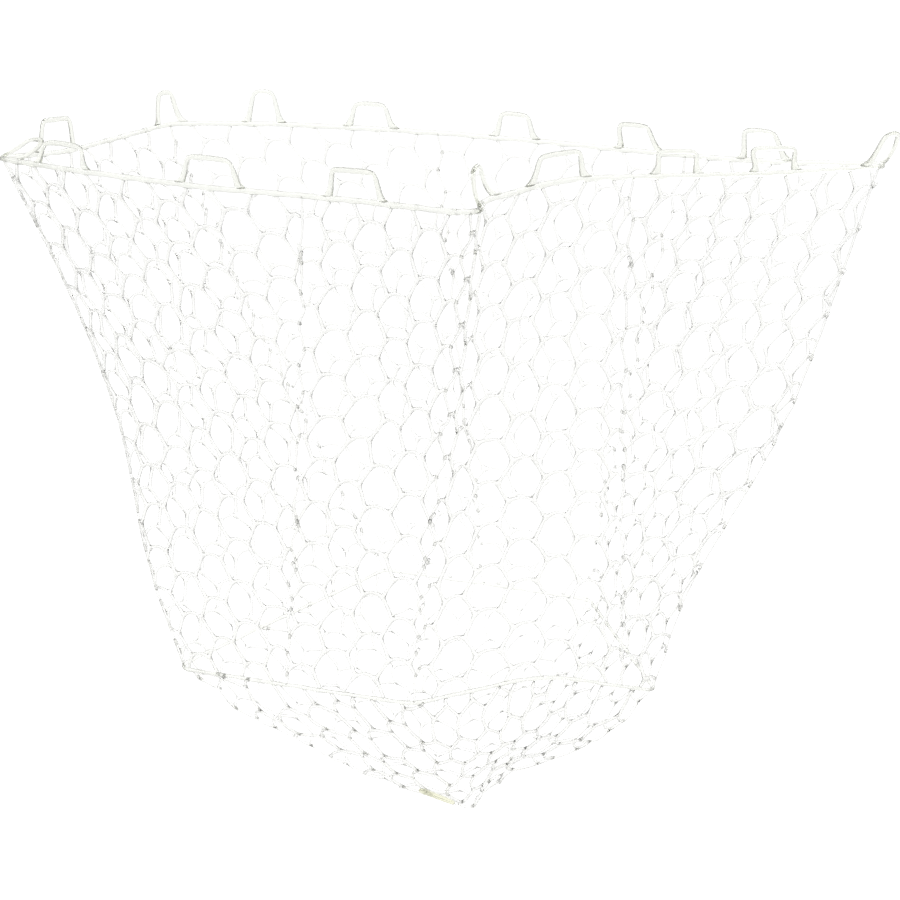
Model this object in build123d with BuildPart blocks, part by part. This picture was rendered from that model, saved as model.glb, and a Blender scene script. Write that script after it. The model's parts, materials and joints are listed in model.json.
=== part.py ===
"""Moulded rubber replacement bag for a landing net, hanging open below its rim.

Millimetres, +Z up, +X along the longest side. The origin is the centre of the mouth,
at the height of the rim welt. Every piece is a solid of its own:

  rim_band           the welt round the mouth
  hoop_loop_01..16   belt-style loops that a hoop tube passes through, each hinged on the rim
  wall_panel_1..8    netting walls, each a closed sheet with the netting's thickness
  wall_seam_1..8     welds that join neighbouring wall panels
  lower_ring         the rib round the foot of the walls
  base_panel         the sagging netting floor
  base_tab           the solid moulded tab near the lowest point
"""

import os
from math import radians, tan

from build123d import *

# ---------------------------------------------------------------- driving dimensions

strand = 2.2  # thickness of the moulded netting
rim_radius = 2.2  # the welt's section
ring_radius = 1.5  # the lower rib's section
seam_radius = 1.3
gap = 0.4  # between pieces that a thin web of rubber joins
loop_gap = 1.6  # the same under a loop's feet, where the rim curves away
seam_end_gap = 1.2

strap_width = 3.8
strap_thickness = 3.0
loop_corner = 5.0
foot_reach = 4.5  # how far a foot flares past its leg
foot_height = 4.0

sheet_edge = 2.3  # from a seam's centre to the netting beside it

tab_length = 26.0
tab_width = 6.0
tab_thickness = 4.0
tab_edge = 1.2
tab_middle = (-8.5, -70, -402)  # it lies flat under the base panel, beside the lowest point
tab_tilt = (-34, 21, 0)  # degrees about X and Y, so that it follows the panel's slope

hub_radius = 9.0  # the flat middle of the base panel
base_edge = 3.6  # from the lower rib's centre line to the base panel
belly_shares = (0.8, 0.5)  # of the way from the base's lowest point to the lower rib
left_bellies = (9, 14)  # how far the base hangs below a straight cone there, on the left
right_bellies = (8, 4)
steady_reach = 50.0  # half the chord that steadies a wall's direction round a corner
wall_foot_gap = 1.2  # between the lower rib and the walls
slice_spacing = 24.0  # along the rim, between the ruled facets of a wall
search_steps = 2000  # places tried round the lower rib when looking for a corner's distance
pull_shares = (0.25, 0.5, 0.8)  # of a wall's height, where its seams' pulls are given

# The mouth, as corners of the welt's centre line, from the left corner round the near side.
# Each is (x, y, z, largest radius of its arc): the four hanging corners are tight.
slack = 400.0
rim_corners = [
    (-295, 38, -1, 14),
    (-244, -10, -2, slack),
    (-147, -65, -6, slack),
    (-54, -119, -6, slack),
    (16, -194, -3, 8),
    (18, -150, -2, 24),
    (66, -112, 6, slack),
    (134, -87, 4, slack),
    (200, -46, 0, slack),
    (288, -4, 0, 10),
    (204, 31, -3, slack),
    (129, 102, -5, slack),
    (45, 150, -2, slack),
    (-55, 176, 2, slack),
    (-132, 207, 2, slack),
    (-204, 226, 0, 16),
    (-262, 107, -6, slack),
]

# The foot of the walls, as corners of the lower rib, in the same order.
ring_corners = [
    (-182, -21, -331, 12),
    (-106, -80, -321, slack),
    (-23, -130, -315, 14),
    (59, -102, -306, slack),
    (110, -76, -324, slack),
    (133, -59, -333, 12),
    (99, 94, -322, 12),
    (26, 114, -317, slack),
    (-47, 126, -310, 12),
]

base_low_point = Vector(17, -42, -423)

# Each seam is (distance along the rim, corner of the lower rib, pulls). The pulls are how far the
# walls hang in from the straight line between the two, at the pull_shares. Distances run
# anticlockwise seen from above, from a point on the straight before the left corner.
seams = [
    (97, 0, (12, 15, 1)),
    (346, 1, (5, 5, 3)),
    (477, 2, (5, 5, 3)),
    (617, 4, (5, 5, 3)),
    (799, 5, (-7, -10, 4)),
    (952, 6, (5, 5, 3)),
    (1142, 7, (5, 5, 3)),
    (1347, 8, (-12, -18, -9)),
]

# Each loop is (distance along the rim, lean from upright in degrees, outward positive, outside
# width at the rim, outside width at the top, height from the rim's centre line to the outside of
# the strap). The hanging corners pinch their loops narrower and taller than the others.
hoop_loops = [
    (32, 0, 42, 34, 24),
    (116, -55, 22, 18, 23),
    (161, -10, 43, 38, 17),
    (279, 5, 44, 36, 20),
    (386, 8, 42, 36, 20),
    (505, -8, 32, 24, 22),
    (567, 12, 38, 32, 19),
    (647, -10, 30, 32, 16),
    (721, -10, 32, 37, 17),
    (799, 25, 22, 16, 25),
    (890, -20, 32, 26, 23),
    (989, -25, 32, 26, 22),
    (1085, -15, 30, 24, 20),
    (1191, -15, 34, 26, 20),
    (1275, 0, 27, 19, 25),
    (1349, 5, 22, 16, 25),
]

# ---------------------------------------------------------------- paths


def point(corner):
    return Vector(*corner[:3])


def arc_radii(corners):
    """The radius at each corner: as large as its two runs allow, up to the corner's own limit."""
    radii = []
    for i, corner in enumerate(corners):
        before = point(corner) - point(corners[i - 1])
        after = point(corners[(i + 1) % len(corners)]) - point(corner)
        half_turn = radians(before.get_angle(after)) / 2
        largest = 0.45 * min(before.length, after.length) / tan(half_turn)
        radii.append(min(corner[3], largest))
    return radii


def closed_path(corners):
    with BuildLine() as line:
        FilletPolyline(*[point(c) for c in corners], radius=arc_radii(corners), close=True)
    return line.wire()


def at(wire, distance):
    """The point on a closed path at a distance from its start."""
    return wire.position_at((distance % wire.length) / wire.length)


def level(vector):
    return Vector(vector.X, vector.Y, 0).normalized()


def outward_at(wire, distance):
    """The level direction out of the bag, steadied round the corners by a chord of the path.

    Both paths run anticlockwise seen from above.
    """
    chord = at(wire, distance + steady_reach) - at(wire, distance - steady_reach)
    return level(chord).cross(Vector(0, 0, 1))


def tube(wire, radius):
    """A round bar along a closed path, swept as two halves that meet."""
    edges = wire.edges()
    middle = len(edges) // 2
    with BuildPart() as bar:
        for half in (Wire(edges[:middle]), Wire(edges[middle:])):
            with BuildSketch(Plane(origin=half.position_at(0), z_dir=half.tangent_at(0))):
                Circle(radius)
            sweep(path=half)
    return bar


def save(part, label):
    part.label = label
    export_step(part, f"parts/{label}.step")


os.makedirs("parts", exist_ok=True)

rim_path = closed_path(rim_corners)
ring_path = closed_path(ring_corners)
print("rim length", round(rim_path.length, 1), "ring length", round(ring_path.length, 1))

# ---------------------------------------------------------------- rim and ring

rim_band = tube(rim_path, rim_radius)
save(rim_band.part, "rim_band")

lower_ring = tube(ring_path, ring_radius)
save(lower_ring.part, "lower_ring")

# ---------------------------------------------------------------- hoop loops


def hoop_loop(distance, lean, width, top_width, height):
    """One strap loop, with flared feet that stand just clear of the rim, about which it hinges."""
    centre = at(rim_path, distance)
    tangent = rim_path.tangent_at(distance / rim_path.length)
    square_up = level(tangent).cross(Vector(0, 0, 1)).cross(tangent)
    upright = square_up.rotate(Axis((0, 0, 0), tangent), lean)
    across = tangent.cross(upright)
    foot = rim_radius + loop_gap
    leg_x = (width - strap_width) / 2
    top_x = (top_width - strap_width) / 2
    top_y = height - strap_width / 2
    with BuildPart() as loop:
        with BuildSketch(Plane(origin=centre, x_dir=tangent, z_dir=across)):
            with BuildLine():
                FilletPolyline(
                    (-leg_x, foot), (-top_x, top_y), (top_x, top_y), (leg_x, foot), radius=loop_corner
                )
            trace(line_width=strap_width)
            for side in (-1, 1):
                inner = side * (leg_x - strap_width / 2)
                outer = side * (leg_x + foot_reach)
                with BuildLine():
                    Polyline(
                        (inner, foot), (outer, foot), (side * leg_x, foot + foot_height), close=True
                    )
                make_face()
            with Locations((0, foot - height / 2)):
                Rectangle(2 * width, height, mode=Mode.SUBTRACT)
        extrude(amount=strap_thickness / 2, both=True)
    return loop


for number, loop_place in enumerate(hoop_loops, start=1):
    loop = hoop_loop(*loop_place)
    save(loop.part, f"hoop_loop_{number:02d}")

# ---------------------------------------------------------------- netting walls and seams


def thin_section(points, across):
    """A slice of a sheet that follows a few points, with the sheet's thickness along across."""
    span = points[-1] - points[0]
    plane = Plane(origin=points[0], x_dir=across, z_dir=across.cross(span))
    line = [plane.to_local_coords(p) for p in points]
    half = strand / 2
    front = [(p.X + half, p.Y) for p in line]
    back = [(p.X - half, p.Y) for p in reversed(line)]
    with BuildSketch(plane) as section:
        with BuildLine():
            Polyline(*front, *back, close=True)
        make_face()
    return section.sketch


def hanging_line(high, low, outward, pulls):
    """The points of a hanging wall from its top to its foot, drawn in by the pulls."""
    between = [high + (low - high) * share - outward * pull for share, pull in zip(pull_shares, pulls)]
    return [high, *between, low]


def ring_distance(corner):
    """How far along the lower rib the point nearest to one of its corners lies."""
    target = point(ring_corners[corner])
    places = [i / search_steps for i in range(search_steps)]
    nearest = min(places, key=lambda place: (ring_path.position_at(place) - target).length)
    return nearest * ring_path.length


def wall_slices(rim_from, rim_to, ring_from, ring_to, pulls_from, pulls_to):
    """Slices of one wall panel, evenly spaced along the rim and the rib between two seams."""
    count = max(2, round((rim_to - rim_from) / slice_spacing))
    slices = []
    for i in range(count + 1):
        share = i / count
        rim_at = rim_from + sheet_edge + share * (rim_to - rim_from - 2 * sheet_edge)
        ring_at = ring_from + sheet_edge + share * (ring_to - ring_from - 2 * sheet_edge)
        high = at(rim_path, rim_at) - Vector(0, 0, rim_radius + gap)
        low = at(ring_path, ring_at) + Vector(0, 0, ring_radius + wall_foot_gap)
        across = (outward_at(rim_path, rim_at) + outward_at(ring_path, ring_at)).normalized()
        pulls = [a + (b - a) * share for a, b in zip(pulls_from, pulls_to)]
        slices.append(thin_section(hanging_line(high, low, across, pulls), across))
    return slices


seam_rims = [distance for distance, corner, pulls in seams]
seam_rings = [ring_distance(corner) for distance, corner, pulls in seams]
if seam_rings[-1] < ring_path.length / 2:
    seam_rings[-1] += ring_path.length
seam_rims.append(seam_rims[0] + rim_path.length)
seam_rings.append(seam_rings[0] + ring_path.length)
seam_pulls = [pulls for distance, corner, pulls in seams + seams[:1]]

for number in range(len(seams)):
    rim_from, rim_to = seam_rims[number : number + 2]
    ring_from, ring_to = seam_rings[number : number + 2]
    pulls_from, pulls_to = seam_pulls[number : number + 2]
    slices = wall_slices(rim_from, rim_to, ring_from, ring_to, pulls_from, pulls_to)
    with BuildPart() as wall:
        for near, far in zip(slices, slices[1:]):
            loft(sections=[near, far], ruled=True)
    save(wall.part, f"wall_panel_{number + 1}")

    outward = (outward_at(rim_path, rim_from) + outward_at(ring_path, ring_from)).normalized()
    top = at(rim_path, rim_from) - Vector(0, 0, rim_radius + seam_end_gap)
    foot = at(ring_path, ring_from) + Vector(0, 0, ring_radius + seam_end_gap)
    with BuildPart() as seam:
        with BuildLine() as seam_line:
            Spline(*hanging_line(top, foot, outward, pulls_from))
        seam_path = seam_line.wire()
        with BuildSketch(Plane(origin=top, z_dir=seam_path.tangent_at(0))):
            Circle(seam_radius)
        sweep(path=seam_path)
    save(seam.part, f"wall_seam_{number + 1}")

# ---------------------------------------------------------------- base panel and tab


def base_ray(corner):
    """A slice of the base panel, from just inside the lower rib, round its belly, to the flat hub."""
    rib = at(ring_path, ring_distance(corner))
    inward = level(base_low_point - rib)
    edge = rib + inward * base_edge
    hub_edge = base_low_point - inward * hub_radius
    leftness = (1 + inward.X) / 2
    belly = []
    for share, left, right in zip(belly_shares, left_bellies, right_bellies):
        sag = right + (left - right) * leftness
        belly.append(hub_edge + (edge - hub_edge) * share - Vector(0, 0, sag))
    return thin_section([edge, *belly, hub_edge], Vector(0, 0, 1))


rays = [base_ray(corner) for corner in range(len(ring_corners))]
with BuildPart() as base_panel:
    for near, far in zip(rays, rays[1:] + rays[:1]):
        loft(sections=[near, far], ruled=True)
    with BuildSketch(Plane.XY.offset(base_low_point.Z - strand / 2)):
        with Locations((base_low_point.X, base_low_point.Y)):
            Circle(hub_radius)
    extrude(amount=strand)
save(base_panel.part, "base_panel")

tab_plane = Plane(origin=tab_middle).rotated(tab_tilt)
with BuildPart() as base_tab:
    with BuildSketch(tab_plane):
        SlotOverall(tab_length, tab_width)
    extrude(amount=tab_thickness / 2, both=True)
    through = Axis(tab_plane.origin, tab_plane.z_dir)
    fillet(base_tab.edges().group_by(through)[0] + base_tab.edges().group_by(through)[-1], tab_edge)
save(base_tab.part, "base_tab")
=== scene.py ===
"""Looks for a moulded clear rubber landing-net bag, hanging open below its rim.

Metres, +Z up, +X along the longest side, the origin at the middle of the mouth. The rim welt,
the walls' netting, the welds between the walls, the lower rib, the base netting, its tab and the
sixteen hoop loops are each a piece of their own.
"""

import json
import math

import bmesh
import bpy
from mathutils import Matrix, Vector, noise


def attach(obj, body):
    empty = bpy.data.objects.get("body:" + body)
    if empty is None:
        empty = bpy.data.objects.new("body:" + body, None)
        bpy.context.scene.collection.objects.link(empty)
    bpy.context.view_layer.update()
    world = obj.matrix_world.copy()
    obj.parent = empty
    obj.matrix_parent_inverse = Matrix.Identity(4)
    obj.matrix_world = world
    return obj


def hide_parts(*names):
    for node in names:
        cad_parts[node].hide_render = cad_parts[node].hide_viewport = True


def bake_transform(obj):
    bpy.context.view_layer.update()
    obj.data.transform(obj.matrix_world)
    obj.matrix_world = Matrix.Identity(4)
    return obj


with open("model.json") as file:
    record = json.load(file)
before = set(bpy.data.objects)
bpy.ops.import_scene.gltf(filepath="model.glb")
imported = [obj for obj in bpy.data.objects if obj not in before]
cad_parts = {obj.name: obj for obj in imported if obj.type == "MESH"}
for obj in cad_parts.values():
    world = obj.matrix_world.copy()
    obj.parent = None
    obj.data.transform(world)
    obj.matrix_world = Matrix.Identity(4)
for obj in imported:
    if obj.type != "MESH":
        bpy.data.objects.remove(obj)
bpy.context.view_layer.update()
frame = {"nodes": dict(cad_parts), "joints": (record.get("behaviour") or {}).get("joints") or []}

MM = 0.001
UP = Vector((0, 0, 1))

# ---------------------------------------------------------------- driving dimensions, in mm

RIM_RADIUS = 2.1
RING_RADIUS = 1.4
SEAM_RADIUS = 0.95
STRAND_HALF = 1.12  # half a strand's width, before subdivision rounds it
STRAND_DEPTH = 1.15
WEB = 0.75  # how far the rubber fills the corners where strands meet
BASE_WEB = 0.35
WEB_REACH = 3.8  # along a strand, from a joint to where it has its plain width
END_WEB = 1.6  # half a strand's width where it joins a rib
RIM_END = 1.0  # from a rib's centre line to the end of a strand moulded into it
RING_END = 0.5
WELD_END = 0.2

COLUMN_PITCH = 24.0
ROW_PITCH = 27.5
BAR = 15.8  # the bar that is the top of one cell and the foot of the next
BAR_BOW = 2.2  # how far the middle of a bar arches up
BASE_COLUMN_PITCH = 23.5
JOINT_MARGIN = 3.0  # the least room between a joint and the rib it would merge with
PULL_SHARES = (0.0, 0.25, 0.5, 0.8, 1.0)  # of a wall's height, where its seams' pulls are given
STEADY_REACH = 50.0
LEFT_BELLY = 0.64  # how far the base bellies below a straight cone, on the left
RIGHT_BELLY = 1.2  # and near the rib on the right

SLACK = 400.0
RIM_CORNERS = [
    (-295, 38, -1, 14),
    (-244, -10, -2, SLACK),
    (-147, -65, -6, SLACK),
    (-54, -119, -6, SLACK),
    (16, -194, -3, 8),
    (18, -150, -2, 24),
    (66, -112, 6, SLACK),
    (134, -87, 4, SLACK),
    (200, -46, 0, SLACK),
    (288, -4, 0, 10),
    (204, 31, -3, SLACK),
    (129, 102, -5, SLACK),
    (45, 150, -2, SLACK),
    (-55, 176, 2, SLACK),
    (-132, 207, 2, SLACK),
    (-204, 226, 0, 16),
    (-262, 107, -6, SLACK),
]
RING_CORNERS = [
    (-182, -21, -331, 12),
    (-106, -80, -321, SLACK),
    (-23, -130, -315, 14),
    (59, -102, -306, SLACK),
    (110, -76, -324, SLACK),
    (133, -59, -333, 12),
    (99, 94, -322, 12),
    (26, 114, -317, SLACK),
    (-47, 126, -310, 12),
]
BASE_LOW = Vector((17, -42, -423))
TAB_MIDDLE = Vector((-8.5, -70, -402))
TAB_TILT = (-34, 21)  # degrees about X, then Y

# (distance along the rim, corner of the ring, how far the walls hang in at the PULL_SHARES)
SEAMS = [
    (97, 0, (0, 12, 15, 1, 0)),
    (346, 1, (0, 5, 5, 3, 0)),
    (477, 2, (0, 5, 5, 3, 0)),
    (617, 4, (0, 5, 5, 3, 0)),
    (799, 5, (0, -7, -10, 4, 0)),
    (952, 6, (0, 5, 5, 3, 0)),
    (1142, 7, (0, 5, 5, 3, 0)),
    (1347, 8, (0, -12, -18, -9, 0)),
]

# (width at the rim, width at the top, height from the rim's centre line)
LOOPS = [
    (42, 34, 24),
    (22, 18, 23),
    (43, 38, 17),
    (44, 36, 20),
    (42, 36, 20),
    (32, 24, 22),
    (38, 32, 19),
    (30, 32, 16),
    (32, 37, 17),
    (22, 16, 25),
    (32, 26, 23),
    (32, 26, 22),
    (30, 24, 20),
    (34, 26, 20),
    (27, 19, 25),
    (22, 16, 25),
]
STRAP_WIDTH = 3.7
STRAP_THICKNESS = 2.8

# ---------------------------------------------------------------- closed paths


class ClosedPath:
    """A closed line with rounded corners, measured from the start of its last corner's arc."""

    def __init__(self, corners, step=1.5):
        self.points = []
        count = len(corners)
        self.corner_points = {}
        for i in [count - 1] + list(range(count - 1)):
            here = Vector(corners[i][:3])
            before = here - Vector(corners[i - 1][:3])
            after = Vector(corners[(i + 1) % count][:3]) - here
            turn = before.angle(after)
            setback = corners[i][3] * math.tan(turn / 2)
            setback = min(setback, 0.45 * min(before.length, after.length))
            radius = setback / math.tan(turn / 2)
            u, v = before.normalized(), after.normalized()
            inward = (v - u).normalized()
            along = (u + v).normalized()
            centre = here + inward * radius / math.cos(turn / 2)
            pieces = max(3, math.ceil(radius * turn / step))
            for j in range(pieces + 1):
                angle = turn * (j / pieces - 0.5)
                spot = centre + along * radius * math.sin(angle) - inward * radius * math.cos(angle)
                self.points.append(spot)
            self.corner_points[i] = len(self.points) - 1 - pieces // 2
        closed = self.points + [self.points[0]]
        self.distances = [0.0]
        for a, b in zip(closed, closed[1:]):
            self.distances.append(self.distances[-1] + (b - a).length)
        self.length = self.distances[-1]

    def at(self, distance):
        distance %= self.length
        low, high = 0, len(self.points)
        while high - low > 1:
            middle = (low + high) // 2
            if self.distances[middle] <= distance:
                low = middle
            else:
                high = middle
        span = self.distances[low + 1] - self.distances[low]
        share = (distance - self.distances[low]) / max(span, 1e-9)
        return self.points[low].lerp(self.points[(low + 1) % len(self.points)], share)

    def tangent(self, distance, reach=1.0):
        return (self.at(distance + reach) - self.at(distance - reach)).normalized()

    def outward(self, distance):
        """The level direction out of the bag, steadied round the corners."""
        chord = self.at(distance + STEADY_REACH) - self.at(distance - STEADY_REACH)
        chord.z = 0
        return chord.normalized().cross(UP)

    def corner_distance(self, corner):
        return self.distances[self.corner_points[corner]]


rim_path = ClosedPath(RIM_CORNERS)
ring_path = ClosedPath(RING_CORNERS)


def smooth(x):
    x = max(0.0, min(1.0, x))
    return x * x * (3 - 2 * x)


def drift(place, scale, size, salt=0.0):
    """A gentle, repeatable wander of a point, for rubber that never hangs quite true."""
    return noise.noise_vector(place / scale + Vector((salt, 2 * salt, -salt))) * size


# ---------------------------------------------------------------- materials


def rubber(name, colour, tint, density):
    """Clear rubber gone slightly milky: light passes through, and thick places turn warm green."""
    material = bpy.data.materials.new(name)
    material.use_nodes = True
    nodes, links = material.node_tree.nodes, material.node_tree.links
    nodes.clear()
    output = nodes.new("ShaderNodeOutputMaterial")
    shader = nodes.new("ShaderNodeBsdfPrincipled")
    shader.inputs["IOR"].default_value = 1.43
    shader.inputs["Transmission Weight"].default_value = 0.93
    shader.inputs["Subsurface Weight"].default_value = 0.0
    shader.inputs["Specular IOR Level"].default_value = 0.5
    place = nodes.new("ShaderNodeTexCoord")

    clouds = nodes.new("ShaderNodeTexNoise")
    clouds.inputs["Scale"].default_value = 38
    clouds.inputs["Detail"].default_value = 3
    ramp = nodes.new("ShaderNodeValToRGB")
    ramp.color_ramp.elements[0].position = 0.35
    ramp.color_ramp.elements[0].color = (*[c * 0.985 for c in colour[:2]], colour[2] * 0.975, 1)
    ramp.color_ramp.elements[1].position = 0.65
    ramp.color_ramp.elements[1].color = (*colour, 1)
    links.new(place.outputs["Object"], clouds.inputs["Vector"])
    links.new(clouds.outputs["Fac"], ramp.inputs["Fac"])
    links.new(ramp.outputs["Color"], shader.inputs["Base Color"])

    patches = nodes.new("ShaderNodeTexNoise")
    patches.inputs["Scale"].default_value = 120
    patches.inputs["Detail"].default_value = 4
    spread = nodes.new("ShaderNodeMapRange")
    spread.inputs["To Min"].default_value = 0.12
    spread.inputs["To Max"].default_value = 0.34
    links.new(place.outputs["Object"], patches.inputs["Vector"])
    links.new(patches.outputs["Fac"], spread.inputs["Value"])
    links.new(spread.outputs["Result"], shader.inputs["Roughness"])

    skin = nodes.new("ShaderNodeTexNoise")
    skin.inputs["Scale"].default_value = 420
    skin.inputs["Detail"].default_value = 5
    bump = nodes.new("ShaderNodeBump")
    bump.inputs["Strength"].default_value = 0.08
    bump.inputs["Distance"].default_value = 0.0004
    links.new(place.outputs["Object"], skin.inputs["Vector"])
    links.new(skin.outputs["Fac"], bump.inputs["Height"])
    links.new(bump.outputs["Normal"], shader.inputs["Normal"])

    inside = nodes.new("ShaderNodeVolumeAbsorption")
    inside.inputs["Color"].default_value = (*tint, 1)
    inside.inputs["Density"].default_value = density
    links.new(inside.outputs["Volume"], output.inputs["Volume"])
    links.new(shader.outputs["BSDF"], output.inputs["Surface"])
    return material


netting_look = rubber("netting rubber", (0.995, 0.995, 0.99), (0.93, 0.94, 0.88), 60)
rib_look = rubber("clear rubber", (0.99, 0.995, 0.975), (0.90, 0.92, 0.78), 40)
loop_look = rubber("loop rubber", (0.985, 0.99, 0.97), (0.88, 0.90, 0.77), 75)
tab_look = rubber("solid rubber", (0.95, 0.95, 0.86), (0.85, 0.85, 0.55), 90)

# ---------------------------------------------------------------- meshes


def make_piece(name, points, faces, look, levels=2):
    """A piece from a cage in millimetres, rounded by subdivision."""
    mesh = bpy.data.meshes.new(name)
    mesh.from_pydata([Vector(p) * MM for p in points], [], faces)
    mesh.materials.append(look)
    mesh.validate()
    shell = bmesh.new()
    shell.from_mesh(mesh)
    bmesh.ops.recalc_face_normals(shell, faces=shell.faces)
    shell.to_mesh(mesh)
    shell.free()
    mesh.polygons.foreach_set("use_smooth", [True] * len(mesh.polygons))
    mesh.update()
    piece = bpy.data.objects.new(name, mesh)
    bpy.context.scene.collection.objects.link(piece)
    rounding = piece.modifiers.new("rounding", "SUBSURF")
    rounding.levels = levels
    rounding.render_levels = levels
    return piece


def tube_cage(centres, radii, closed, sides=6):
    """The cage of a round bar through some centres, each with its own radius."""
    points, faces = [], []
    count = len(centres)
    side = None
    for i, centre in enumerate(centres):
        if closed:
            along = centres[(i + 1) % count] - centres[i - 1]
        else:
            along = centres[min(i + 1, count - 1)] - centres[max(i - 1, 0)]
        along.normalize()
        if closed:
            side = along.cross(UP).normalized()
        else:
            side = side or along.orthogonal()
            side = (side - along * side.dot(along)).normalized()
        other = along.cross(side)
        for j in range(sides):
            angle = 2 * math.pi * j / sides
            offset = side * math.cos(angle) + other * math.sin(angle)
            points.append(centre + offset * radii[i])
    for i in range(count if closed else count - 1):
        for j in range(sides):
            a, b = i * sides, ((i + 1) % count) * sides
            k = (j + 1) % sides
            faces.append((a + j, a + k, b + k, b + j))
    if not closed:
        faces.append(tuple(reversed(range(sides))))
        faces.append(tuple(range((count - 1) * sides, count * sides)))
    return points, faces


class Netting:
    """Strands and webbed joints on a surface, as a cage that subdivision rounds.

    place(s, t) is the point at s across and t down the flat netting, both in millimetres.
    """

    def __init__(self, place, web):
        self.place = place
        self.web = web
        self.points = []
        self.faces = []

    def normal(self, s, t):
        step = 0.5
        across = self.place(s + step, t) - self.place(s - step, t)
        down = self.place(s, t + step) - self.place(s, t - step)
        return across.cross(down).normalized()

    def add(self, point):
        self.points.append(point)
        return len(self.points) - 1

    def joint(self, spot, neighbours):
        """The web where strands meet. Returns, for each neighbour, its four corner points."""
        centre = self.place(*spot)
        normal = self.normal(*spot)
        headings = []
        for neighbour in neighbours:
            to = self.place(*neighbour) - centre
            headings.append((to - normal * to.dot(normal)).normalized())
        first = headings[0]
        second = normal.cross(first)
        angles = [math.atan2(h.dot(second), h.dot(first)) % (2 * math.pi) for h in headings]
        order = sorted(range(len(headings)), key=lambda k: angles[k])
        corners = []
        for k, here in enumerate(order):
            after = order[(k + 1) % len(order)]
            between = (angles[after] - angles[here]) % (2 * math.pi) or 2 * math.pi
            middle = angles[here] + between / 2
            reach = (STRAND_HALF + self.web) / max(0.55, math.sin(between / 2))
            out = (first * math.cos(middle) + second * math.sin(middle)) * reach
            front = self.add(centre + out + normal * STRAND_DEPTH)
            back = self.add(centre + out - normal * STRAND_DEPTH)
            corners.append((front, back))
        self.faces.append(tuple(front for front, back in corners))
        self.faces.append(tuple(back for front, back in reversed(corners)))
        quads = {}
        for k, here in enumerate(order):
            left, right = corners[k], corners[k - 1]
            quads[here] = (right[0], left[0], left[1], right[1])
        return [quads[k] for k in range(len(neighbours))]

    def section(self, s, t, heading, half):
        """Four points round a strand, in the same order as a joint gives them."""
        centre = self.place(s, t)
        normal = self.normal(s, t)
        left = normal.cross(heading).normalized() * half
        up = normal * STRAND_DEPTH
        return tuple(
            self.add(p) for p in (centre - left + up, centre + left + up, centre + left - up, centre - left - up)
        )

    def skin(self, near, far):
        for k in range(4):
            m = (k + 1) % 4
            self.faces.append((near[k], near[m], far[m], far[k]))

    def strand(self, start, end, start_quad, end_quad):
        """A strand between two joints, or from a joint to a rib where end_quad is None."""
        (s0, t0), (s1, t1) = start, end
        length = math.hypot(s1 - s0, t1 - t0)
        heading = (self.place(s1, t1) - self.place(s0, t0)).normalized()
        shares = [0.5]
        if length > 2.4 * WEB_REACH:
            shares = [WEB_REACH / length, 0.5, 1 - WEB_REACH / length]
        previous = start_quad
        bow = BAR_BOW if abs(t1 - t0) < 0.1 else 0.0
        for share in shares:
            s, t = s0 + (s1 - s0) * share, t0 + (t1 - t0) * share - bow * 4 * share * (1 - share)
            quad = self.section(s, t, heading, STRAND_HALF)
            self.skin(previous, quad)
            previous = quad
        if end_quad is None:
            last = self.section(s1, t1, heading, END_WEB)
            self.skin(previous, last)
            self.faces.append(last)
        else:
            self.skin(previous, (end_quad[1], end_quad[0], end_quad[3], end_quad[2]))


def hexagons(span_s, span_t, column_pitch, row_pitch, bar, phase):
    """Joints of flat-topped hexagons over a region, each with its three neighbours."""
    joints = {}
    lean = column_pitch - bar
    for k in range(math.floor(span_s[0] / column_pitch) - 2, math.ceil(span_s[1] / column_pitch) + 3):
        centre = (k + phase) * column_pitch
        shift = 0 if k % 2 == 0 else row_pitch / 2
        for j in range(math.floor(span_t[0] / row_pitch) - 2, math.ceil(span_t[1] / row_pitch) + 3):
            t = j * row_pitch + shift
            left, right = (centre - bar / 2, t), (centre + bar / 2, t)
            half = row_pitch / 2
            joints[left] = [right, (left[0] - lean, t - half), (left[0] - lean, t + half)]
            joints[right] = [left, (right[0] + lean, t - half), (right[0] + lean, t + half)]
    return joints


def key(spot):
    return (round(spot[0], 3), round(spot[1], 3))


def weave(netting, joints, room):
    """Builds the strands whose joints have room, and cuts the others where room runs out.

    room(spot) is the distance left to the nearest rib, negative outside. Returns the cut ends.
    """
    kept = {key(spot): spot for spot in joints if room(spot) > JOINT_MARGIN}
    around = {}
    ends = []
    for name, spot in kept.items():
        reach = []
        for neighbour in joints[spot]:
            if key(neighbour) in kept:
                reach.append(kept[key(neighbour)])
                continue
            inside, outside = 0.0, 1.0
            if room(neighbour) > 0:
                toward = Vector((neighbour[0] - spot[0], neighbour[1] - spot[1]))
                neighbour = tuple(Vector(spot) + toward * 1.6)
            for _ in range(14):
                middle = (inside + outside) / 2
                trial = (
                    spot[0] + (neighbour[0] - spot[0]) * middle,
                    spot[1] + (neighbour[1] - spot[1]) * middle,
                )
                if room(trial) > 0:
                    inside = middle
                else:
                    outside = middle
            reach.append(trial)
            ends.append(trial)
        around[name] = reach
    quads = {}
    for name, spot in kept.items():
        found = netting.joint(spot, around[name])
        for neighbour, quad in zip(around[name], found):
            quads[name, key(neighbour)] = quad
    for name, spot in kept.items():
        for neighbour in around[name]:
            other = key(neighbour)
            if other not in kept:
                netting.strand(spot, neighbour, quads[name, other], None)
            elif name < other:
                netting.strand(spot, neighbour, quads[name, other], quads[other, name])
    return ends


# ---------------------------------------------------------------- walls

seam_places = [(distance, ring_path.corner_distance(corner), pulls) for distance, corner, pulls in SEAMS]
last_rim, last_ring, last_pulls = seam_places[-1]
if last_ring < ring_path.length / 2:
    seam_places[-1] = (last_rim, last_ring + ring_path.length, last_pulls)
first_rim, first_ring, first_pulls = seam_places[0]
after_places = seam_places[1:] + [(first_rim + rim_path.length, first_ring + ring_path.length, first_pulls)]


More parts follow.
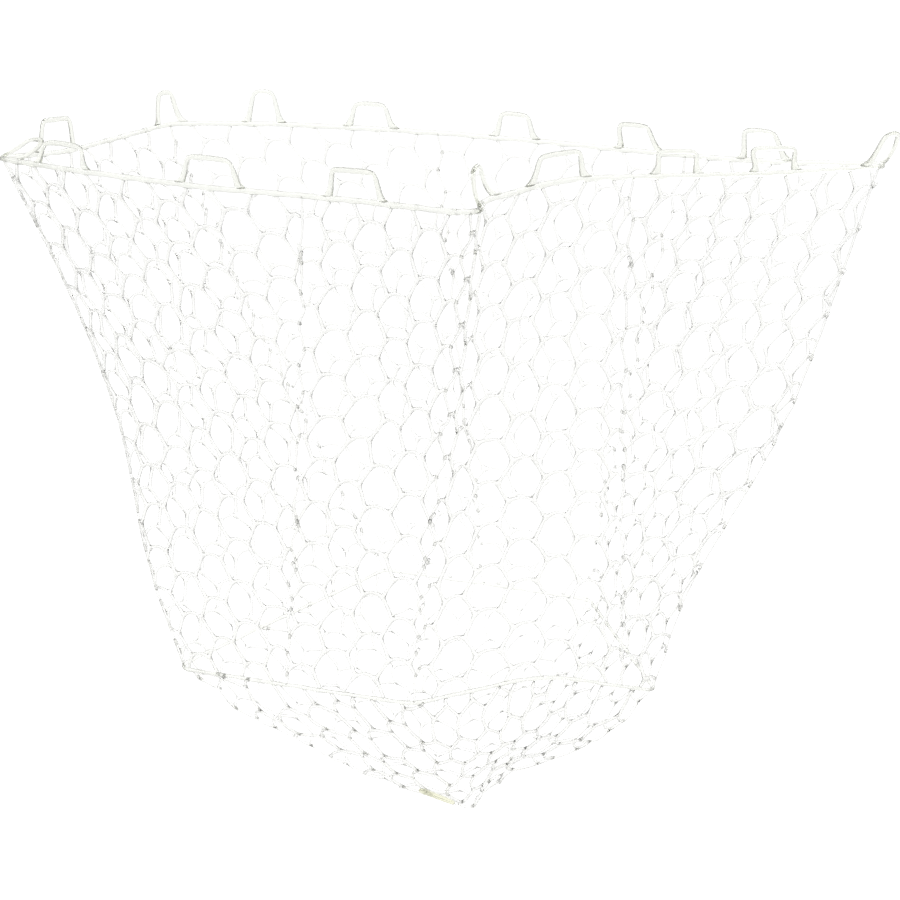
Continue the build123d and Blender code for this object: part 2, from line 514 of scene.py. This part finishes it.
def pull_at(pulls, v):
    """A smooth curve down the wall through the pulls at the PULL_SHARES."""
    v = max(0.0, min(0.9999, v))
    last = len(PULL_SHARES) - 1
    slopes = []
    for i in range(last + 1):
        low, high = max(i - 1, 0), min(i + 1, last)
        slopes.append((pulls[high] - pulls[low]) / (PULL_SHARES[high] - PULL_SHARES[low]))
    i = max(k for k in range(last) if PULL_SHARES[k] <= v)
    span = PULL_SHARES[i + 1] - PULL_SHARES[i]
    x = (v - PULL_SHARES[i]) / span
    start = (1 + 2 * x) * (1 - x) ** 2 * pulls[i] + x * (1 - x) ** 2 * span * slopes[i]
    end = x * x * (3 - 2 * x) * pulls[i + 1] + x * x * (x - 1) * span * slopes[i + 1]
    return start + end


def wall_point(place, next_place, u, v):
    """A point of a wall, u of the way between its seams and v of the way down to the lower rib."""
    rim_at = place[0] + u * (next_place[0] - place[0])
    ring_at = place[1] + u * (next_place[1] - place[1])
    high, low = rim_path.at(rim_at), ring_path.at(ring_at)
    outward = (rim_path.outward(rim_at) + ring_path.outward(ring_at)).normalized()
    u_in = max(0.0, min(1.0, u))
    pull = pull_at(place[2], v) * (1 - u_in) + pull_at(next_place[2], v) * u_in
    return high.lerp(low, v) - outward * pull


rim_joins = []
ring_joins = []
seam_joins = {number: [] for number in range(8)}

for number, (place, next_place) in enumerate(zip(seam_places, after_places)):
    top = next_place[0] - place[0]
    foot = next_place[1] - place[1]
    middle = ((place[0] + next_place[0]) / 2, (place[1] + next_place[1]) / 2)
    height = (rim_path.at(middle[0]) - ring_path.at(middle[1])).length

    def half_width(t, top=top, foot=foot, height=height):
        return (top + (foot - top) * max(-0.1, min(1.1, t / height))) / 2

    def wall_place(s, t, place=place, next_place=next_place, height=height, half=half_width, salt=number):
        u = 0.5 + s / (2 * half(t))
        v = t / height
        spot = wall_point(place, next_place, u, v)
        free = math.sin(math.pi * max(0.0, min(1.0, v))) * math.sin(math.pi * max(0.0, min(1.0, u)))
        return spot + drift(spot, 55, 7.0 * free, salt) + drift(spot, 17, 1.6 * free, salt + 9.5)

    def wall_room(spot, height=height, half=half_width):
        s, t = spot
        return min(t - RIM_END, height - t - RING_END, half(t) - abs(s) - WELD_END)

    netting = Netting(wall_place, WEB)
    joints = hexagons((-top / 2, top / 2), (0, height), COLUMN_PITCH, ROW_PITCH, BAR, 0.5 * (number % 2))
    joints = {spot: near for spot, near in joints.items() if -2 * ROW_PITCH < spot[1] < height + 2 * ROW_PITCH}
    ends = weave(netting, joints, wall_room)
    for s, t in ends:
        u = 0.5 + s / (2 * half_width(t))
        if t < RIM_END + 0.5:
            rim_joins.append(place[0] + u * top)
        elif t > height - RING_END - 0.5:
            ring_joins.append(place[1] + u * foot)
        elif s < 0:
            seam_joins[number].append((t / height, 1))
        else:
            seam_joins[(number + 1) % 8].append((t / height, -1))
    piece = make_piece(f"wall_netting_{number + 1}", netting.points, netting.faces, netting_look)
    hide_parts(f"wall_panel_{number + 1}")
    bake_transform(piece)

# ---------------------------------------------------------------- welds between the walls

WELD_STEPS = 120
for number, (place, next_place) in enumerate(zip(seam_places, after_places)):
    joins = sorted(seam_joins[number])
    outward = (rim_path.outward(place[0]) + ring_path.outward(place[1])).normalized()
    centres, radii = [], []
    for i in range(WELD_STEPS + 1):
        v = i / WELD_STEPS
        here = wall_point(place, next_place, 0, v)
        along = wall_point(place, next_place, 0, v + 0.01) - wall_point(place, next_place, 0, v - 0.01)
        side = along.cross(outward).normalized()
        if (rim_path.at(place[0] + 5) - rim_path.at(place[0])).dot(side) < 0:
            side = -side
        sway, swell = 0.0, 0.0
        for join_v, pull in joins:
            away = (v - join_v) * 300
            sway += pull * math.exp(-((away / 6.5) ** 2))
            swell = max(swell, math.exp(-((away / 3.0) ** 2)))
        centres.append(here + side * 2.4 * sway + drift(here, 20, 1.0 * math.sin(math.pi * v), 3.3))
        radii.append(SEAM_RADIUS + 0.25 * swell)
    points, faces = tube_cage(centres, radii, closed=False)
    piece = make_piece(f"wall_weld_{number + 1}", points, faces, netting_look, levels=1)
    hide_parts(f"wall_seam_{number + 1}")
    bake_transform(piece)

# ---------------------------------------------------------------- rim welt and lower rib


def rib(name, path, radius, joins, swell, drop, step, salt):
    """A closed rib that thickens where strands join it."""
    count = round(path.length / step)
    centres, radii = [], []
    for i in range(count):
        distance = i / count * path.length
        here = path.at(distance)
        near = 0.0
        for join in joins:
            away = abs((join - distance + path.length / 2) % path.length - path.length / 2)
            near = max(near, math.exp(-((away / 3.5) ** 2)))
        uneven = 1 + 0.05 * noise.noise(here / 9 + Vector((salt, 0, 0)))
        centres.append(here - UP * drop * near + drift(here, 14, 0.35, salt))
        radii.append(radius * uneven + swell * near)
    points, faces = tube_cage(centres, radii, closed=True)
    return make_piece(name, points, faces, rib_look, levels=1)


rim_piece = rib("rim_welt", rim_path, RIM_RADIUS, rim_joins, 0.35, 0.35, 2.6, 1.7)
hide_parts("rim_band")
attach(rim_piece, "root")

# ---------------------------------------------------------------- base netting

ring_rays = []
for spot in ring_path.points:
    out = spot - BASE_LOW
    ring_rays.append((math.atan2(out.y, out.x), spot))
ring_rays.sort(key=lambda ray: ray[0])


def rib_toward(angle):
    """The point of the lower rib in a direction from the base's lowest point."""
    low, high = 0, len(ring_rays)
    while high - low > 0:
        middle = (low + high) // 2
        if ring_rays[middle][0] < angle:
            low = middle + 1
        else:
            high = middle
    after, before = low % len(ring_rays), low - 1
    a, b = ring_rays[before], ring_rays[after]
    gap = (b[0] - a[0]) % (2 * math.pi)
    share = ((angle - a[0]) % (2 * math.pi)) / max(gap, 1e-9)
    return a[1].lerp(b[1], min(1.0, share))


def base_reach(angle):
    """How far it is from the lowest point to the rib, over the netting."""
    out = rib_toward(angle) - BASE_LOW
    return 1.02 * math.hypot(math.hypot(out.x, out.y), out.z)


def base_place(s, t):
    x, y = t, s
    far = math.hypot(x, y)
    if far < 1e-6:
        return BASE_LOW.copy()
    angle = math.atan2(y, x)
    rib_point = rib_toward(angle)
    share = far / base_reach(angle)
    level = Vector((rib_point.x - BASE_LOW.x, rib_point.y - BASE_LOW.y, 0))
    leftness = (1 - math.cos(angle)) / 2
    belly = LEFT_BELLY * leftness * share * (1 - share) + RIGHT_BELLY * (1 - leftness) * share**4 * (1 - share)
    rise = (rib_point.z - BASE_LOW.z) * (share - belly)
    spot = BASE_LOW + level * share + UP * rise
    free = smooth((1 - share) * 4)
    return spot + drift(spot, 45, 6.0 * free, 21.5) + drift(spot, 15, 1.4 * free, 5.1)


def base_room(spot):
    s, t = spot
    return base_reach(math.atan2(s, t)) - math.hypot(s, t) - RING_END


base_net = Netting(base_place, BASE_WEB)
base_joints = hexagons((-190, 190), (-230, 190), BASE_COLUMN_PITCH, ROW_PITCH, BAR, 0.0)
base_ends = weave(base_net, base_joints, base_room)
base_piece = make_piece("base_netting", base_net.points, base_net.faces, netting_look)
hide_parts("base_panel")
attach(base_piece, "base")

for s, t in base_ends:
    toward = rib_toward(math.atan2(s, t))
    nearest = min(range(len(ring_path.points)), key=lambda i: (ring_path.points[i] - toward).length)
    ring_joins.append(ring_path.distances[nearest])

ring_piece = rib("lower_rib", ring_path, RING_RADIUS, ring_joins, 0.4, 0.0, 2.6, 6.1)
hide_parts("lower_ring")
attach(ring_piece, "base")

# ---------------------------------------------------------------- tab

tab_turn = Matrix.Rotation(math.radians(TAB_TILT[0]), 3, "X") @ Matrix.Rotation(math.radians(TAB_TILT[1]), 3, "Y")
tab_points, tab_faces = [], []
TAB_SECTIONS = [(-12.6, 1.9, 1.5), (-11, 2.9, 1.9), (-5, 3.0, 2.0), (4, 2.6, 1.9), (10.5, 2.2, 1.7), (12.6, 1.4, 1.3)]
for x, half_wide, half_thick in TAB_SECTIONS:
    for dy, dz in ((-1, -1), (1, -1), (1, 1), (-1, 1)):
        local = Vector((x, dy * half_wide, dz * half_thick))
        tab_points.append(TAB_MIDDLE + tab_turn @ local)
for i in range(len(TAB_SECTIONS) - 1):
    for k in range(4):
        m = (k + 1) % 4
        tab_faces.append((4 * i + k, 4 * i + m, 4 * i + 4 + m, 4 * i + 4 + k))
tab_faces.append((3, 2, 1, 0))
tab_faces.append(tuple(4 * (len(TAB_SECTIONS) - 1) + k for k in range(4)))
tab_piece = make_piece("tab", tab_points, tab_faces, tab_look, levels=3)
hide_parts("base_tab")
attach(tab_piece, "base")

# ---------------------------------------------------------------- hoop loops


def rim_distance(point):
    """How far along the rim the path passes a point."""
    nearest = min(range(len(rim_path.points)), key=lambda i: (rim_path.points[i] - point).length)
    return rim_path.distances[nearest]


def hoop_loop(number, hinge, width, top_width, height):
    """A belt-style loop whose feet flare along the rim they are moulded to."""
    node = f"hoop_loop_{number:02d}"
    centre = Vector(hinge["pos_m"]) / MM
    tangent = Vector(hinge["axis"]).normalized()
    corners = [v.co / MM for v in frame["nodes"][node].data.vertices]
    upright = sum(corners, Vector()) / len(corners) - centre
    upright = (upright - tangent * upright.dot(tangent)).normalized()
    across = tangent.cross(upright)
    half_strap = STRAP_WIDTH / 2
    leg = width / 2 - half_strap
    top_x = top_width / 2 - half_strap
    top_y = height - half_strap
    distance = rim_distance(centre)
    lean = (leg - top_x) / (top_y - 3.0)
    turn = math.degrees(math.atan(lean))

    def leg_x(y):
        return leg - lean * (y - 3.0)

    # (x, y, half width in the loop's plane, heading in that plane), from a foot to the top
    run = [
        (leg + 3.4, 0.6, 5.6, 90),
        (leg + 1.0, 2.6, 3.2, 90),
        (leg_x(5.4) + 0.15, 5.4, half_strap + 0.25, 90 + turn),
        (leg_x(top_y * 0.55), top_y * 0.55, half_strap, 90 + turn),
        (leg_x(top_y - 3.6), top_y - 3.6, half_strap, 90 + turn),
        (top_x - 0.9 + 0.3 * lean, top_y - 0.9, half_strap, 135 + turn / 2),
        (top_x - 3.8, top_y, half_strap, 180),
    ]
    sections = [(-x, y, half, 180 - heading) for x, y, half, heading in run]
    sections.append((0.0, top_y + 0.2, half_strap, 0))
    sections += [(x, y, half, heading - 180) for x, y, half, heading in reversed(run)]
    points, faces = [], []
    wobble = Vector((number * 3.7, number * 1.3, 0))
    for x, y, half, heading in sections:
        side = -1 if x < 0 else 1
        grip = smooth(1 - (y - 1.0) / 8.0)
        foot_spot = rim_path.at(distance + side * (leg + 2.0))
        foot_along = rim_path.tangent(distance + side * (leg + 2.0), 3)
        flat = centre + tangent * x + upright * y
        bent = foot_spot + foot_along * (x - side * (leg + 2.0)) + upright * y
        angle = math.radians(heading)
        in_plane = Vector((-math.sin(angle), math.cos(angle)))
        wide = (tangent.lerp(foot_along, grip)).normalized() * in_plane.x + upright * in_plane.y
        spot = flat.lerp(bent, grip)
        spot = spot + noise.noise_vector(spot / 16 + wobble) * 1.1 * (1 - grip)
        deep = across * STRAP_THICKNESS / 2 * (1.0 + 0.2 * grip)
        for a, b in ((1, 1), (-1, 1), (-1, -1), (1, -1)):
            points.append(spot + wide * half * a + deep * b)
    for i in range(len(sections) - 1):
        for k in range(4):
            m = (k + 1) % 4
            faces.append((4 * i + k, 4 * i + m, 4 * i + 4 + m, 4 * i + 4 + k))
    faces.append((3, 2, 1, 0))
    faces.append(tuple(4 * (len(sections) - 1) + k for k in range(4)))
    piece = make_piece(f"loop_{number:02d}", points, faces, loop_look, levels=3)
    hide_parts(node)
    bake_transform(piece)


hinges = {joint["child"]: joint for joint in frame["joints"]}
for number, sizes in enumerate(LOOPS, start=1):
    hoop_loop(number, hinges[f"loop_{number:02d}"], *sizes)

# ---------------------------------------------------------------- floor, light and camera


def plain(name, colour, roughness):
    material = bpy.data.materials.new(name)
    material.use_nodes = True
    shader = material.node_tree.nodes["Principled BSDF"]
    shader.inputs["Base Color"].default_value = (*colour, 1)
    shader.inputs["Roughness"].default_value = roughness
    shader.inputs["Specular IOR Level"].default_value = 0.0
    return material


floor_mesh = bpy.data.meshes.new("floor")
FLOOR_HALF = 40.0
FLOOR_Z = -0.9
FLOOR_CORNERS = [(-1, -1), (1, -1), (1, 1), (-1, 1)]
floor_mesh.from_pydata([(x * FLOOR_HALF, y * FLOOR_HALF, FLOOR_Z) for x, y in FLOOR_CORNERS], [], [(0, 1, 2, 3)])
# The floor's material carries painted light: an emitted glow, set up below, brighter behind the bag.
floor_with_painted_glow = plain("pale floor with painted glow", (0.82, 0.82, 0.82), 1.0)
floor_mesh.materials.append(floor_with_painted_glow)
floor = bpy.data.objects.new("floor", floor_mesh)
bpy.context.scene.collection.objects.link(floor)


def fade(nodes, links, value, low, high):
    """A smooth rise from 0 at low to 1 at high."""
    ramp = nodes.new("ShaderNodeMapRange")
    ramp.interpolation_type = "SMOOTHSTEP"
    ramp.inputs["From Min"].default_value = low
    ramp.inputs["From Max"].default_value = high
    links.new(value, ramp.inputs["Value"])
    return ramp.outputs["Result"]


def arithmetic(nodes, links, operation, first, second):
    """A math node on two inputs, each a socket or a number."""
    node = nodes.new("ShaderNodeMath")
    node.operation = operation
    for socket, value in zip(node.inputs, (first, second)):
        if isinstance(value, (int, float)):
            socket.default_value = value
        else:
            links.new(value, socket)
    return node.outputs["Value"]


# Painted light: the floor's emission paints a pool of white light behind the bag that falls off gently to the sides
# and the front, standing in for a lit sweep.
FALLOFF_START = 0.3  # sideways distance over distance behind, where the glow begins to fade
FALLOFF_END = 1.1
GLOW_FROM_Y = -1.5
PAINTED_GLOW = 0.45
floor_nodes, floor_links = floor_with_painted_glow.node_tree.nodes, floor_with_painted_glow.node_tree.links
floor_place = floor_nodes.new("ShaderNodeTexCoord")
floor_axes = floor_nodes.new("ShaderNodeSeparateXYZ")
floor_links.new(floor_place.outputs["Object"], floor_axes.inputs["Vector"])
sideways = arithmetic(floor_nodes, floor_links, "ABSOLUTE", floor_axes.outputs["X"], 0.0)
behind = arithmetic(floor_nodes, floor_links, "SUBTRACT", floor_axes.outputs["Y"], GLOW_FROM_Y)
behind = arithmetic(floor_nodes, floor_links, "MAXIMUM", behind, 0.05)
spread = arithmetic(floor_nodes, floor_links, "DIVIDE", sideways, behind)
inside = fade(floor_nodes, floor_links, spread, FALLOFF_END, FALLOFF_START)
back = fade(floor_nodes, floor_links, floor_axes.outputs["Y"], -0.2, 0.7)
painted_glow = arithmetic(floor_nodes, floor_links, "MULTIPLY", inside, back)
painted_glow = arithmetic(floor_nodes, floor_links, "MULTIPLY", painted_glow, PAINTED_GLOW)
# Painted light: the floor's emission strength is the painted glow, a pool of light laid into the floor's surface
# rather than cast by a lamp.
floor_shader = floor_nodes["Principled BSDF"]
floor_shader.inputs["Emission Color"].default_value = (1, 1, 1, 1)
floor_links.new(painted_glow, floor_shader.inputs["Emission Strength"])

VIEW_TILT = 14.65  # degrees down
SWEEP_START = 24  # degrees from the middle of the sweep, to where it begins to fade
SWEEP_END = 65
STUDIO = 0.77
SWEEP = 1.06

# A white sweep behind the bag, with the studio dimmer round it: what the rubber bends into view
# from the sides outlines every strand.
world = bpy.data.worlds.new("studio")
bpy.context.scene.world = world
world.use_nodes = True
world_nodes, world_links = world.node_tree.nodes, world.node_tree.links
sky = world_nodes["Background"]
sky.inputs["Color"].default_value = (1, 1, 1, 1)
direction = world_nodes.new("ShaderNodeTexCoord")
toward_sweep = world_nodes.new("ShaderNodeVectorMath")
toward_sweep.operation = "DOT_PRODUCT"
tilt = math.radians(VIEW_TILT)
toward_sweep.inputs[1].default_value = (0, math.cos(tilt), -math.sin(tilt))
sweep_part = fade(
    world_nodes,
    world_links,
    toward_sweep.outputs["Value"],
    math.cos(math.radians(SWEEP_END)),
    math.cos(math.radians(SWEEP_START)),
)
brightness = arithmetic(world_nodes, world_links, "MULTIPLY", sweep_part, SWEEP - STUDIO)
brightness = arithmetic(world_nodes, world_links, "ADD", brightness, STUDIO)
world_links.new(direction.outputs["Generated"], toward_sweep.inputs[0])
world_links.new(brightness, sky.inputs["Strength"])


def soft_light(name, place, aim, size, power):
    light = bpy.data.lights.new(name, "AREA")
    light.energy = power
    light.size = size
    lamp = bpy.data.objects.new(name, light)
    lamp.location = place
    lamp.rotation_euler = (Vector(aim) - Vector(place)).to_track_quat("-Z", "Y").to_euler()
    bpy.context.scene.collection.objects.link(lamp)


soft_light("key light", (-1.6, -1.4, 1.6), (0, 0, -0.2), 1.4, 12)
soft_light("back light", (1.2, 2.0, 1.2), (0, 0, -0.2), 1.6, 10)

camera_data = bpy.data.cameras.new("camera")
camera_data.lens = 90.6
camera_data.sensor_width = 36
camera_data.clip_end = 200
camera = bpy.data.objects.new("camera", camera_data)
camera.location = (0, -1.4362, 0.1877)
camera.rotation_euler = (math.radians(90 - VIEW_TILT), 0, 0)
bpy.context.scene.collection.objects.link(camera)
bpy.context.scene.camera = camera
bpy.context.scene.view_settings.view_transform = "Standard"
